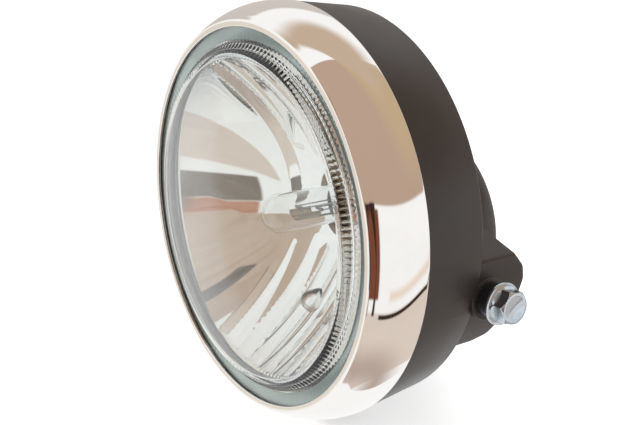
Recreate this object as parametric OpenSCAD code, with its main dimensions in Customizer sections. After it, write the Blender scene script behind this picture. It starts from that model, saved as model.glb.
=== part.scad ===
// Round motorcycle headlight: moulded shell, chromed trim ring, fluted glass and
// a many-faceted reflector with a three-blade halogen bulb and a pilot lamp.
// The lamp shines towards -Y. Most modules are drawn in the lamp frame, whose
// origin is on the lamp axis at the seam between the ring and the shell. The
// finished part is moved so that its origin is on the axis of the mounting bolts.

/* [Trim ring] */
// Outer radius of the ring at its seam with the shell
ring_r = 93; // [88:0.5:98]
// Depth of the ring from the seam to its front crease
ring_len = 23.3; // [21:0.1:26]
// How far the skirt draws in between the seam and the crease
ring_draw = 7.9; // [6:0.1:9]
// Power of the skirt's curve, where a higher one is squarer
ring_power = 2.4; // [2:0.1:3]
// Thickness of the ring's sheet
ring_sheet = 1; // [0.8:0.1:1.2]
// Width of the front lip that holds the glass
lip_w = 2.6; // [2:0.1:3.5]

/* [Glass] */
// Gap between the glass and the inside of the ring
glass_gap = 0.5; // [0.3:0.1:0.8]
// Width of the smooth flange under the lip
flange_w = 7.9; // [6:0.1:9]
// Thickness of the glass
glass_t = 3.2; // [2.8:0.1:3.6]
// Radial width of the fluted bevel
bevel_w = 3.9; // [3:0.1:5]
// Height of the fluted bevel
bevel_h = 3.5; // [3:0.1:4.5]
// Rise of the clear dome at its centre
dome_rise = 7.2; // [5:0.1:9]
// Number of flutes around the bevel
flute_count = 180; // [90:10:200]
// Depth of a flute
flute_depth = 0.6; // [0.4:0.1:0.8]
// Thickness of the sealing bead between glass and reflector
seal_t = 2; // [1.5:0.1:2.5]

/* [Reflector] */
// Focal length of the bowl
focal = 23.2; // [22:0.1:24]
// Wall of the bowl
bowl_wall = 2.2; // [1.8:0.1:2.6]
// Thickness of the flange under the glass
bowl_flange_t = 2.5; // [2:0.1:3]
// Number of radial facets
facet_count = 24; // [16:2:32]
// Crown of each facet between its seams
facet_crown = 0.9; // [0.5:0.1:1.2]
// Height of the step between two bands of facets
band_step = 0.5; // [0.3:0.1:0.8]
// Radius of the bulb hole
bulb_hole_r = 19; // [18.8:0.1:19.4]
// Distance from the focus to the seat of the bulb
focus_to_seat = 28.9; // [28:0.1:30]
// Wall of the neck that holds the bulb
neck_wall = 3.5; // [3:0.1:4]
// Distance of the pilot lamp below the lamp axis
pilot_drop = 45; // [42:0.5:48]
// Radius of the pilot lamp's hole
pilot_hole_r = 7.5; // [7:0.1:8]

/* [Shell] */
// Outer radius of the drum at its back edge
drum_back_r = 89.3; // [87:0.1:91]
// Depth of the drum behind the seam
drum_len = 29.8; // [27:0.1:33]
// Wall of the shell
shell_wall = 2.6; // [2.2:0.1:3]
// Length of the spigot inside the ring
spigot_len = 5; // [4:0.1:6]
// Gap between the spigot and the ring
spigot_gap = 0.3; // [0.2:0.1:0.5]
// Distance of the rear bowl's centre below the lamp axis
rear_drop = 18; // [15:0.5:20]
// Radius of the rear bowl at its root
rear_root_r = 64; // [60:0.5:66]
// Radius of the rear bowl where its round end starts
rear_r = 62; // [58:0.5:64]
// Distance from the seam to the start of the round end
rear_start = 64; // [60:0.5:68]
// Length of the round end
rear_round = 20; // [16:0.5:22]
// Radius of the flat at the very back
rear_flat_r = 30; // [26:0.5:34]

/* [Mounting lugs] */
// Distance of the bolt axis behind the seam
pivot_y = 38; // [36:0.5:41]
// Distance of the bolt axis below the lamp axis
pivot_drop = 23.5; // [21:0.5:26]
// Radius of the lugs' outer faces about the lamp axis
lug_r = 88.4; // [86:0.1:90]
// Distance of the lugs' top faces below the lamp axis
lug_top = 6.8; // [5:0.1:9]
// Height of a lug
lug_h = 41; // [37:0.5:45]
// Distance from the seam to the back of a lug
lug_back = 59.5; // [57:0.5:62]
// Radius of the bolt thread
bolt_r = 4; // [3:0.5:5]
// Length of the bolt under its head
bolt_len = 25; // [22:0.5:30]
// Radius of the bolt's flange
bolt_flange_r = 9; // [8:0.1:11]
// Width of the bolt's head across its flats
bolt_flats = 13; // [12:0.5:14]
// Length of the spacer between a lug and its bolt
spacer_len = 6.5; // [5:0.1:8]
// Wall of the spacer
spacer_wall = 3; // [2:0.1:3.5]
// Width of the round pad around each spacer
pad_w = 2; // [1:0.1:3]
// Length of the threaded insert
insert_len = 15; // [12:0.5:18]
// Wall of the threaded insert
insert_wall = 3; // [2:0.1:3.5]

/* [Ring fixings] */
// Angle of each ring screw from the top of the lamp
screw_angle = 152; // [145:1:158]
// Distance of the ring screws behind the seam
screw_y = 7; // [6:0.1:9]
// Radius of the ring screw's thread
screw_r = 2.5; // [2:0.1:3]
// Radius of the ring screw's head
screw_head_r = 4.5; // [4:0.1:5]
// Width of the square nut
nut_w = 8; // [7.5:0.1:9]
// Thickness of the tabs and clips
tab_t = 1.2; // [1:0.1:1.5]
// Angle that each glass clip spans
clip_span = 9; // [7:0.5:12]

/* [Wire inlet] */
// Radius of the hole through the grommet
wire_r = 6; // [5:0.1:7]
// Wall of the grommet
grommet_wall = 4.5; // [4:0.1:5]
// Width of the grommet's rims
grommet_rim = 3; // [2:0.1:3.5]

/* [Hidden] */
$fn = 96;

// Small sizes and clearances
seat_gap = 0.3;
pin_gap = 0.2;
bond = 0.4;
edge = 0.8;
steps = 24;

// Ring
crease_r = ring_r - ring_draw;
lip_r = crease_r - lip_w;
lip_back = ring_sheet - ring_len;

// Glass
lens_r = skirt_in_r(lip_back) - glass_gap;
bevel_out_r = lens_r - flange_w;
bevel_in_r = bevel_out_r - bevel_w;
bevel_front = lip_back - bevel_h;
lens_back = lip_back + glass_t;
glass_in_r = bevel_in_r - glass_t / 2;

// Reflector
bowl_front = lens_back + seal_t;
bowl_r = glass_in_r - 0.5;
neck_r = bulb_hole_r + neck_wall;
bowl_vertex = bowl_front + bowl_r * bowl_r / (4 * focal);
seat_y = bowl_vertex - focal + focus_to_seat;
bowl_end_r = bulb_hole_r + 1.2;
seat_flange_r = neck_r + 5;
seat_flange_t = 4;
bowl_bands = 4;
band_rows = 5;
facet_cols = 4;

// Bulb
collar_r = bulb_hole_r - pin_gap;
bulb_flange_r = 21.5;
bulb_flange_t = 1.5;
bulb_can_r = 14;
bulb_can_len = 6;
glass_r = 8.9;
glass_wall = 0.9;
bulb_tip = seat_y - 55;
bulb_rear = seat_y + bulb_flange_t + bulb_can_len;
pinch_y = bulb_rear - 6;
blade_w = 7.8;
blade_t = 0.8;
blade_len = 12;
insulator_r = 12.5;
insulator_len = 6;

// Shell
seam_r = ring_r - 0.4;
spigot_r = ring_r - ring_sheet - spigot_gap;
rear_end = rear_start + rear_round;

// Mounting
insert_r = bolt_r + insert_wall;
spacer_r = bolt_r + spacer_wall + 0.3;
lug_bottom = lug_top + lug_h;
pad_r = spacer_r + pad_w;
lug_face_x = sqrt(lug_r * lug_r - pow(pivot_drop - pad_r, 2));
head_x = lug_face_x + spacer_len;

// Radius of the ring's outer skirt at a place y, from the seam at 0 forwards
function skirt_r(y) = ring_r - ring_draw * pow(-y / ring_len, ring_power);

// Slope of the skirt, and its inner radius at one sheet's thickness inside
function skirt_slope(y) = ring_draw * ring_power / ring_len * pow(-y / ring_len, ring_power - 1);
function skirt_in_r(y) = skirt_r(y) - ring_sheet * sqrt(1 + pow(skirt_slope(y), 2));

// Depth of the drum's taper at a place y behind the seam
function drum_r(y) = seam_r + (drum_back_r - seam_r) * y / drum_len;

// Front of a shallow dome at radius r, which rises by rise over a rim of radius rim_r
function dome_y(r, rim_r, rim_y, rise) = rim_y - rise * (1 - r * r / (rim_r * rim_r));

// Points of an elliptic quarter round, from a wall of radius r0 to a flat of radius r1
function round_end(r0, r1, y0, len, n) =
    [for (i = [0:n]) [r1 + (r0 - r1) * cos(90 * i / n), y0 + len * sin(90 * i / n)]];

module lamp() {
    translate([0, -pivot_y, pivot_drop])
        children();
}

module turned() {
    rotate([-90, 0, 0])
        rotate_extrude()
            children();
}

module swept(at, span) {
    rotate([-90, 0, 0])
        rotate([0, 0, at - 90 - span / 2])
            rotate_extrude(angle = span)
                children();
}

module along_y(y0, y1, r) {
    translate([0, y0, 0])
        rotate([-90, 0, 0])
            cylinder(r = r, h = y1 - y0);
}

module radial(at, y) {
    translate([0, y, 0])
        rotate([0, at, 0])
            children();
}

module both_sides() {
    children();
    mirror([1, 0, 0])
        children();
}

module on_bolt_axis() {
    translate([0, pivot_y, -pivot_drop])
        rotate([0, 90, 0])
            children();
}

// Housing

// Outline of the drum and its spigot, drawn in by inset
module drum_solid(inset) {
    turned()
        polygon([
            [0, -spigot_len - (inset > 0 ? 1 : 0)],
            [spigot_r - inset, -spigot_len - (inset > 0 ? 1 : 0)],
            [spigot_r - inset, 0],
            [drum_r(0) - inset, 0],
            [drum_r(drum_len - edge) - inset, drum_len - edge - inset],
            [drum_back_r - edge - inset, drum_len - inset],
            [0, drum_len - inset]
        ]);
}

module rear_solid(inset) {
    translate([0, 0, -rear_drop])
        turned()
            polygon(concat(
                [[0, drum_len - 2 * shell_wall], [rear_root_r - inset, drum_len - 2 * shell_wall]],
                round_end(rear_r - inset, rear_flat_r - inset, rear_start, rear_round - inset, 10),
                [[0, rear_end - inset]]
            ));
}

// Side view of a lug, in distances behind the seam and below the lamp axis
module lug_side(inset) {
    top = lug_top + inset;
    bottom = lug_bottom - inset;
    back = lug_back - inset;
    polygon([
        [drum_len - 2 * shell_wall, -top],
        [back - 10, -top],
        [back - 4.5, -top - 1.5],
        [back - 1, -top - 5.5],
        [back, -top - 11],
        [back - 1, -top - 19],
        [back - 4, -top - 27],
        [back - 8, -bottom + 5],
        [back - 12, -bottom + 1],
        [back - 17, -bottom],
        [drum_len - 2 * shell_wall, -bottom]
    ]);
}

// One lug, between the rear bowl and the outer face
module lug_solid(inset) {
    intersection() {
        rotate([90, 0, 90])
            linear_extrude(height = ring_r)
                lug_side(inset);
        along_y(0, lug_back, lug_r - inset);
    }
}

// Round boss around the insert, from inside the lug out to its flat pad
module lug_boss() {
    on_bolt_axis()
        translate([0, 0, lug_face_x - insert_len - shell_wall])
            cylinder(r = pad_r, h = insert_len + shell_wall);
}

module insert_hole() {
    on_bolt_axis()
        translate([0, 0, lug_face_x - insert_len - 2 * shell_wall])
            cylinder(r = insert_r + pin_gap, h = ring_r);
}

// Flat seat for a ring screw's head, sunk into the drum
module screw_seat() {
    translate([0, 0, screw_seat_r])
        cylinder(r = screw_head_r + 2 * seat_gap, h = ring_r - screw_seat_r);
    cylinder(r = screw_r + seat_gap, h = ring_r);
}

screw_seat_r = drum_r(screw_y) - 1.4;
grommet_r = wire_r + grommet_wall;

module housing() {
    color([0.16, 0.14, 0.13])
        lamp()
            difference() {
                union() {
                    drum_solid(0);
                    rear_solid(0);
                    both_sides()
                        lug_solid(0);
                    both_sides()
                        lug_boss();
                }
                difference() {
                    union() {
                        drum_solid(shell_wall);
                        rear_solid(shell_wall);
                        both_sides()
                            lug_solid(shell_wall);
                    }
                    both_sides()
                        lug_boss();
                }
                both_sides()
                    insert_hole();
                for (side = [-1, 1])
                    radial(side * screw_angle, screw_y)
                        screw_seat();
                translate([0, 0, -rear_drop])
                    along_y(rear_end - 3 * shell_wall, rear_end + 1, grommet_r);
            }
}

// Trim ring

module trim_ring() {
    color([0.86, 0.84, 0.82])
        lamp()
            turned()
                polygon(concat(
                    [for (i = [0:steps]) [skirt_r(-ring_len * i / steps), -ring_len * i / steps]],
                    [[crease_r - 0.5, -ring_len - 0.3],
                     [lip_r + 0.4, -ring_len - 0.2],
                     [lip_r, -ring_len + 0.3],
                     [lip_r, lip_back]],
                    [for (i = [steps:-1:0]) [skirt_in_r(lip_back * i / steps), lip_back * i / steps]]
                ));
}

// Sheet hook inside the top of the ring, which catches behind the spigot
module ring_hook() {
    hook_out = skirt_in_r(-spigot_len - 4) - seat_gap;
    hook_in = spigot_r - shell_wall - seat_gap;
    color([0.62, 0.63, 0.64])
        lamp()
            swept(0, 16)
                polygon([
                    [hook_out, -spigot_len - 4],
                    [hook_out, -spigot_len - 4 + tab_t],
                    [hook_in, -spigot_len - 4 + tab_t],
                    [hook_in, 8],
                    [hook_in - tab_t, 8],
                    [hook_in - tab_t, -spigot_len - 4]
                ]);
}

tab_back = screw_y + 7;
tab_r = drum_r(tab_back) - shell_wall - seat_gap;

// Two sheet tabs inside the ring that carry the nuts behind the shell's wall
module screw_tabs() {
    tab_out = skirt_in_r(-spigot_len - 4) - seat_gap;
    color([0.62, 0.63, 0.64])
        lamp()
            difference() {
                for (side = [-1, 1])
                    swept(side * screw_angle, 10)
                        polygon([
                            [tab_out, -spigot_len - 4],
                            [tab_out, -spigot_len - 4 + tab_t],
                            [tab_r, -spigot_len - 4 + tab_t],
                            [tab_r, tab_back],
                            [tab_r - tab_t, tab_back],
                            [tab_r - tab_t, -spigot_len - 4]
                        ]);
                for (side = [-1, 1])
                    radial(side * screw_angle, screw_y)
                        cylinder(r = screw_r + seat_gap, h = ring_r);
            }
}

nut_t = 3.2;

module ring_screws() {
    color([0.72, 0.72, 0.74])
        lamp()
            for (side = [-1, 1])
                radial(side * screw_angle, screw_y)
                    difference() {
                        union() {
                            translate([0, 0, tab_r - tab_t - nut_t - 2])
                                cylinder(r = screw_r, h = screw_seat_r + 1 - tab_r + tab_t + nut_t + 2);
                            translate([0, 0, screw_seat_r])
                                cylinder(r = screw_head_r, h = 1.6);
                            translate([0, 0, screw_seat_r + 1.6])
                                cylinder(r1 = screw_head_r, r2 = screw_head_r - 1.2, h = 0.8);
                        }
                        translate([-0.6, -ring_r, screw_seat_r + 1.2])
                            cube([1.2, 2 * ring_r, 3]);
                        translate([-ring_r, -0.6, screw_seat_r + 1.2])
                            cube([2 * ring_r, 1.2, 3]);
                    }
}

module ring_nuts() {
    nut_top = sqrt(pow(tab_r - tab_t, 2) - pow(nut_w / 2, 2)) - 0.05;
    color([0.66, 0.66, 0.68])
        lamp()
            for (side = [-1, 1])
                radial(side * screw_angle, screw_y)
                    difference() {
                        translate([-nut_w / 2, -nut_w / 2, nut_top - nut_t])
                            cube([nut_w, nut_w, nut_t]);
                        cylinder(r = screw_r + pin_gap, h = ring_r);
                    }
}

// Spring clips that press the glass and reflector against the lip
module unit_clips() {
    foot_y = bowl_front + bowl_flange_t;
    leg_end = -spigot_len - 1.5;
    foot_out = skirt_in_r(foot_y) - seat_gap;
    leg_out = skirt_in_r(leg_end) - seat_gap;
    color([0.58, 0.58, 0.6])
        lamp()
            for (at = [45:90:315])
                swept(at, clip_span)
                    polygon([
                        [lens_r - 4, foot_y],
                        [foot_out, foot_y],
                        [leg_out, leg_end],
                        [leg_out - tab_t, leg_end],
                        [foot_out - tab_t, foot_y + tab_t],
                        [lens_r - 4, foot_y + tab_t]
                    ]);
}

// Glass

// Section of the lens with its bevel drawn back by the depth of the flutes
module lens_section(sunk) {
    polygon(concat(
        [for (i = [0:steps])
            [bevel_in_r * i / steps,
             dome_y(bevel_in_r * i / steps, bevel_in_r, bevel_front, dome_rise)]],
        [[bevel_in_r + sunk, bevel_front + sunk],
         [bevel_out_r - sunk, lip_back],
         [lens_r - edge, lip_back],
         [lens_r, lip_back + edge],
         [lens_r, lens_back],
         [glass_in_r, lens_back],
         [glass_in_r - 1.5, lens_back - bevel_h]],
        [for (i = [steps - 1:-1:0])
            [(glass_in_r - 1.5) * i / steps,
             dome_y((glass_in_r - 1.5) * i / steps, glass_in_r - 1.5, lens_back - bevel_h, dome_rise)]]
    ));
}

// Thin layer of the bevel that the flutes stand in
module bevel_layer() {
    turned()
        polygon([
            [bevel_in_r + 0.1, bevel_front + 0.15],
            [bevel_out_r, lip_back],
            [bevel_out_r - 2 * flute_depth, lip_back + flute_depth],
            [bevel_in_r + 0.1, bevel_front + 3 * flute_depth]
        ]);
}

module lens() {
    flute_step = 360 / flute_count;
    color([0.75, 0.85, 0.85, 0.45])
        lamp() {
            turned()
                lens_section(flute_depth);
            intersection() {
                bevel_layer();
                rotate([-90, 0, 0])
                    translate([0, 0, bevel_front - 1])
                        linear_extrude(height = bevel_h + 2)
                            for (i = [0:flute_count - 1])
                                rotate(i * flute_step)
                                    polygon([
                                        [bevel_in_r - 2, -0.28 * flute_width],
                                        [bevel_out_r + 2, -0.28 * flute_width],
                                        [bevel_out_r + 2, 0.28 * flute_width],
                                        [bevel_in_r - 2, 0.28 * flute_width]
                                    ]);
            }
        }
}

flute_width = 2 * PI * bevel_in_r / flute_count;

module lens_seal() {
    color([0.12, 0.12, 0.12])
        lamp()
            turned()
                polygon([
                    [glass_in_r + 2, lens_back],
                    [lens_r - 1, lens_back],
                    [lens_r - 1, bowl_front],
                    [glass_in_r + 2, bowl_front]
                ]);
}

// Reflector

// Depth of the bowl's mirror at radius r and angle a. The bowl is the paraboloid
// bowl_vertex - r^2 / (4 focal), each facet is crowned across its width, and each
// band of facets lies one step further back than the band outside it.
function facet_at(a) = a * facet_count / 360 - floor(a * facet_count / 360);
function crown(a, r) = facet_crown * (r / bowl_r) * (1 - pow(2 * facet_at(a) - 1, 2));
function mirror_y(r, a, band) =
    bowl_vertex - r * r / (4 * focal) - crown(a, r) + band_step * (bowl_bands - 1 - band) / 3;

// Radii of the rows: band after band from the rim to the neck
function row_r(k) = bowl_r + (bowl_end_r - bowl_r) * k / (bowl_bands * band_rows);

bowl_rows = bowl_bands * band_rows;
bowl_cols = facet_count * facet_cols;

function mirror_point(k, j) =
    let (r = row_r(k), a = 360 * j / bowl_cols, band = min(floor(k / band_rows), bowl_bands - 1))
    [r * sin(a), k == 0 ? bowl_front : mirror_y(r, a, bowl_bands - 1 - band) - band_step, r * cos(a)];
function back_point(k, j) =
    let (r = row_r(k) + bowl_wall * bowl_back_share(row_r(k)), a = 360 * j / bowl_cols)
    [r * sin(a),
     k == 0 ? bowl_front + 1 : bowl_vertex - row_r(k) * row_r(k) / (4 * focal) + bowl_wall * 0.8,
     r * cos(a)];
function bowl_back_share(r) = r / sqrt(r * r + 4 * focal * focal);

// Shell of the bowl: the mirror side, the back side and the two rims between them
module bowl_shell() {
    n = bowl_cols;
    m = bowl_rows;
    inner = [for (k = [0:m]) for (j = [0:n - 1]) mirror_point(k, j)];
    outer = [for (k = [0:m]) for (j = [0:n - 1]) back_point(k, j)];
    base = (m + 1) * n;
    quads = [for (k = [0:m - 1]) for (j = [0:n - 1])
        let (a = k * n + j, b = k * n + (j + 1) % n, c = b + n, d = a + n) [a, b, c, d]];
    sides = concat(
        [for (q = quads) [q[0], q[1], q[2]]],
        [for (q = quads) [q[0], q[2], q[3]]],
        [for (q = quads) [base + q[2], base + q[1], base + q[0]]],
        [for (q = quads) [base + q[3], base + q[2], base + q[0]]]
    );
    rims = concat(
        [for (j = [0:n - 1]) let (b = (j + 1) % n) [base + j, base + b, b]],
        [for (j = [0:n - 1]) let (b = (j + 1) % n) [base + j, b, j]],
        [for (j = [0:n - 1]) let (a = m * n + j, b = m * n + (j + 1) % n) [b, base + b, a]],
        [for (j = [0:n - 1]) let (a = m * n + j, b = m * n + (j + 1) % n) [base + b, base + a, a]]
    );
    polyhedron(points = concat(inner, outer), faces = concat(sides, rims));
}

pilot_end = mirror_y(pilot_drop - pilot_hole_r, 0, 0) + bowl_wall + 9;

module reflector() {
    color([0.8, 0.78, 0.76])
        lamp()
            difference() {
                union() {
                    bowl_shell();
                    turned()
                        polygon([
                            [bowl_r + 1, bowl_front],
                            [lens_r, bowl_front],
                            [lens_r, bowl_front + bowl_flange_t],
                            [bowl_r + 1, bowl_front + bowl_flange_t]
                        ]);
                    turned()
                        polygon([
                            [bulb_hole_r, seat_y - 9.5],
                            [neck_r, seat_y - 9.5],
                            [neck_r, seat_y - seat_flange_t],
                            [seat_flange_r, seat_y - seat_flange_t],
                            [seat_flange_r, seat_y],
                            [bulb_hole_r, seat_y]
                        ]);
                    translate([0, 0, -pilot_drop])
                        along_y(pilot_end - 14, pilot_end, pilot_hole_r + bowl_wall);
                }
                translate([0, 0, -pilot_drop])
                    along_y(bowl_front, pilot_end + 1, pilot_hole_r);
            }
}

// Bulb

module bulb_base() {
    color([0.75, 0.74, 0.72])
        lamp()
            turned()
                polygon([
                    [glass_r + pin_gap, seat_y - 6],
                    [collar_r, seat_y - 6],
                    [collar_r, seat_y],
                    [bulb_flange_r, seat_y],
                    [bulb_flange_r, seat_y + bulb_flange_t],
                    [bulb_can_r, seat_y + bulb_flange_t],
                    [bulb_can_r, bulb_rear],
                    [0, bulb_rear],
                    [0, bulb_rear - 2],
                    [glass_r + pin_gap, bulb_rear - 2]
                ]);
}

// Hollow envelope, sealed at its pinch in the base
module bulb_glass() {
    module envelope(inset, back) {
        turned()
            polygon(concat(
                [[0, back], [glass_r - inset, back]],
                [for (i = [0:8])
                    [(glass_r - inset) * cos(90 * i / 8),
                     bulb_tip + glass_r - (glass_r - inset) * sin(90 * i / 8)]]
            ));
    }
    color([0.85, 0.9, 0.92, 0.4])
        lamp()
            difference() {
                envelope(0, bulb_rear - 2);
                envelope(glass_wall, pinch_y);
            }
}

focus_y = seat_y - focus_to_seat;

// Cup under the dipped filament, with its stem
module beam_shield() {
    color([0.6, 0.6, 0.6])
        lamp() {
            swept(180, 165)
                polygon([
                    [4.2, focus_y - 9],
                    [4.7, focus_y - 9],
                    [4.7, focus_y + 2],
                    [4.2, focus_y + 2]
                ]);
            translate([0, 0, -4.45])
                along_y(focus_y - 2, pinch_y, 0.5);
        }
}

// Dipped and main filaments, each on its two lead wires
module filaments() {
    color([0.5, 0.5, 0.52])
        lamp()
            for (coil = [[focus_y - 7, 1.2], [focus_y + 4, -1.2]]) {
                translate([-2.6, coil[0], coil[1]])
                    rotate([0, 90, 0])
                        cylinder(r = 0.7, h = 5.2, $fn = 24);
                for (x = [-2.6, 2.6])
                    translate([x, 0, coil[1]])
                        along_y(coil[0], pinch_y, 0.35);
            }
}

module bulb_insulator() {
    color([0.3, 0.27, 0.24])
        lamp()
            along_y(bulb_rear, bulb_rear + insulator_len, insulator_r);
}

// Three blades, one above and one on each side
module bulb_terminals() {
    blade_y = bulb_rear + insulator_len;
    color([0.76, 0.74, 0.66])
        lamp() {
            translate([-blade_w / 2, blade_y, 7])
                cube([blade_w, blade_len, blade_t]);
            for (x = [-9, 9 - blade_t])
                translate([x, blade_y, -blade_w / 2 - 2])
                    cube([blade_t, blade_len, blade_w]);
        }
}

spring_r = 0.8;
spring_y = seat_y + bulb_flange_t + spring_r;
spring_arm_r = seat_flange_r - 2.5;
spring_angle = 100;
spring_screw_r = 1.9;

// Sprung wire across the bulb's flange, bent down to the seat on both sides
module bulb_spring() {
    color([0.7, 0.7, 0.72])
        lamp() {
            swept(0, 2 * spring_angle)
                translate([bulb_can_r + 3, spring_y])
                    circle(r = spring_r, $fn = 24);
            for (side = [-1, 1]) {
                radial(side * spring_angle, spring_y)
                    translate([0, 0, bulb_can_r + 2.5])
                        cylinder(r = spring_r, h = spring_arm_r + spring_r - bulb_can_r - 2.5, $fn = 24);
                radial(side * spring_angle, seat_y)
                    translate([0, 0, spring_arm_r])
                        rotate([-90, 0, 0])
                            cylinder(r = spring_r, h = spring_y - seat_y, $fn = 24);
            }
        }
}

// A screw beside each end of the spring
module spring_screws() {
    beside = asin((spring_r + spring_screw_r + pin_gap) / spring_arm_r);
    color([0.72, 0.7, 0.66])
        lamp()
            for (side = [-1, 1])
                radial(side * (spring_angle + beside), seat_y)
                    translate([0, 0, spring_arm_r])
                        rotate([-90, 0, 0])
                            cylinder(r = spring_screw_r, h = 1.6, $fn = 48);
}

// Rubber cover over the neck and the back of the bulb
module dust_boot() {
    boot_in = seat_flange_r + pin_gap;
    color([0.1, 0.1, 0.1])
        lamp()
            turned()
                polygon([
                    [boot_in, seat_y - seat_flange_t],
                    [boot_in + 2.6, seat_y - seat_flange_t],
                    [boot_in + 2.6, bulb_rear - 1],
                    [boot_in - 1, bulb_rear + 2],
                    [insulator_r + 3, bulb_rear + 5],
                    [insulator_r + pin_gap, bulb_rear + 5],
                    [insulator_r + pin_gap, bulb_rear + 3],
                    [boot_in - 4, bulb_rear],
                    [boot_in, bulb_rear - 2.5]
                ]);
}

// Pilot lamp

pilot_bulb_r = 4.8;

module pilot_holder() {
    color([0.14, 0.14, 0.14])
        lamp()
            translate([0, 0, -pilot_drop])
                turned()
                    polygon([
                        [pilot_bulb_r + pin_gap, pilot_end - 8],
                        [pilot_hole_r - pin_gap, pilot_end - 8],
                        [pilot_hole_r - pin_gap, pilot_end],
                        [pilot_hole_r + bowl_wall, pilot_end],
                        [pilot_hole_r + bowl_wall, pilot_end + 2.5],
                        [6, pilot_end + 2.5],
                        [5.2, pilot_end + 9],
                        [0, pilot_end + 9],
                        [0, pilot_end],
                        [pilot_bulb_r + pin_gap, pilot_end]
                    ]);
}

module pilot_bulb() {
    tip = pilot_end - 25;
    color([0.85, 0.9, 0.92, 0.4])
        lamp()
            translate([0, 0, -pilot_drop])
                turned()
                    polygon(concat(
                        [[0, pilot_end], [pilot_bulb_r, pilot_end]],
                        [for (i = [0:6])
                            [pilot_bulb_r * cos(90 * i / 6),
                             tip + pilot_bulb_r - pilot_bulb_r * sin(90 * i / 6)]]
                    ));
}

// Mounting hardware

module threaded_inserts() {
    color([0.7, 0.7, 0.72])
        lamp()
            both_sides()
                on_bolt_axis()
                    translate([0, 0, lug_face_x - insert_len])
                        difference() {
                            cylinder(r = insert_r, h = insert_len);
                            translate([0, 0, -1])
                                cylinder(r = bolt_r + pin_gap, h = insert_len + 2);
                        }
}

module mount_spacers() {
    color([0.35, 0.36, 0.38])
        lamp()
            both_sides()
                on_bolt_axis()
                    translate([0, 0, lug_face_x])
                        difference() {
                            cylinder(r = spacer_r, h = spacer_len);
                            translate([0, 0, -1])
                                cylinder(r = bolt_r + seat_gap, h = spacer_len + 2);
                        }
}

// Flanged hexagon bolts, screwed in from both sides
module mounting_bolts() {
    color([0.74, 0.78, 0.82])
        lamp()
            both_sides()
                on_bolt_axis()
                    translate([0, 0, head_x]) {
                        translate([0, 0, -bolt_len])
                            cylinder(r = bolt_r, h = bolt_len + 1);
                        cylinder(r = bolt_flange_r, h = 1.4);
                        translate([0, 0, 1.4])
                            cylinder(r1 = bolt_flange_r, r2 = bolt_flats / 2, h = 1.6);
                        cylinder(r = bolt_flats / sqrt(3), h = 7.4, $fn = 6);
                        translate([0, 0, 7.4])
                            cylinder(r1 = bolt_flats / 2 - 0.2, r2 = bolt_flats / 2 - 1.2, h = 0.6);
                    }
}

// Rubber grommet in the back of the shell, with a groove around the hole's edge
module wire_grommet() {
    color([0.08, 0.08, 0.08])
        lamp()
            translate([0, 0, -rear_drop])
                turned()
                    polygon([
                        [wire_r, rear_end - shell_wall - 2.5],
                        [grommet_r + grommet_rim, rear_end - shell_wall - 2.5],
                        [grommet_r + grommet_rim, rear_end - shell_wall],
                        [grommet_r - pin_gap, rear_end - shell_wall],
                        [grommet_r - pin_gap, rear_end],
                        [grommet_r + grommet_rim, rear_end],
                        [grommet_r + grommet_rim - 1, rear_end + 2.5],
                        [wire_r + 1, rear_end + 4],
                        [wire_r, rear_end + 4]
                    ]);
}

housing();
trim_ring();
ring_hook();
screw_tabs();
ring_screws();
ring_nuts();
unit_clips();
lens();
lens_seal();
reflector();
bulb_base();
bulb_glass();
beam_shield();
filaments();
bulb_insulator();
bulb_terminals();
bulb_spring();
spring_screws();
dust_boot();
pilot_bulb();
pilot_holder();
threaded_inserts();
mount_spacers();
mounting_bolts();
wire_grommet();
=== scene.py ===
import math

import bmesh
import bpy
import numpy as np
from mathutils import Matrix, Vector


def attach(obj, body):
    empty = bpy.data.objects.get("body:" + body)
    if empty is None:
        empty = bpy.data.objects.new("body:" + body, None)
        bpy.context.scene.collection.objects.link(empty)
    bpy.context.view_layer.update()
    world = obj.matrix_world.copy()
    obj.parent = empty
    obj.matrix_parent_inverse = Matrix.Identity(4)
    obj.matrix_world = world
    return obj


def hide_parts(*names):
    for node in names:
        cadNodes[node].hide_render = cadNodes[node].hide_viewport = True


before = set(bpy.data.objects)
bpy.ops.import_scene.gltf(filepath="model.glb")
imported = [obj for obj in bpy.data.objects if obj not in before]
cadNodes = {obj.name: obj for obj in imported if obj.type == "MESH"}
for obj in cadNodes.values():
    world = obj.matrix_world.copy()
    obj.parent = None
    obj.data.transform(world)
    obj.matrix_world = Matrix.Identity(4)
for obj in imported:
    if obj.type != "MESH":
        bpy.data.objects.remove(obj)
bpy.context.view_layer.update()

# Lamp measures are in millimetres in the lamp's own frame: y = 0 at the seam between ring and
# shell, the glass towards -y, z up. lampPlace moves them so that the bolt axis is the origin.
lampPlace = np.array([0.0, -38.0, 23.5])

boltAxis = {"y": 38.0, "z": -23.5}


def inRow(points):
    return (np.asarray(points, float) + lampPlace) * 0.001


# mesh tools: every surface is a grid of points worked out as whole arrays, in lamp millimetres

def gridQuads(rows, cols, closeRows, closeCols):
    # quad (i, j) joins the points (i, j), (i, j+1), (i+1, j+1), (i+1, j)
    i = np.arange(rows if closeRows else rows - 1)[:, None]
    j = np.arange(cols if closeCols else cols - 1)[None, :]
    iNext, jNext = (i + 1) % rows, (j + 1) % cols
    quads = [i * cols + j, i * cols + jNext, iNext * cols + jNext, iNext * cols + j]
    return np.stack([q.ravel() for q in np.broadcast_arrays(*quads)], axis=1)


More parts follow.
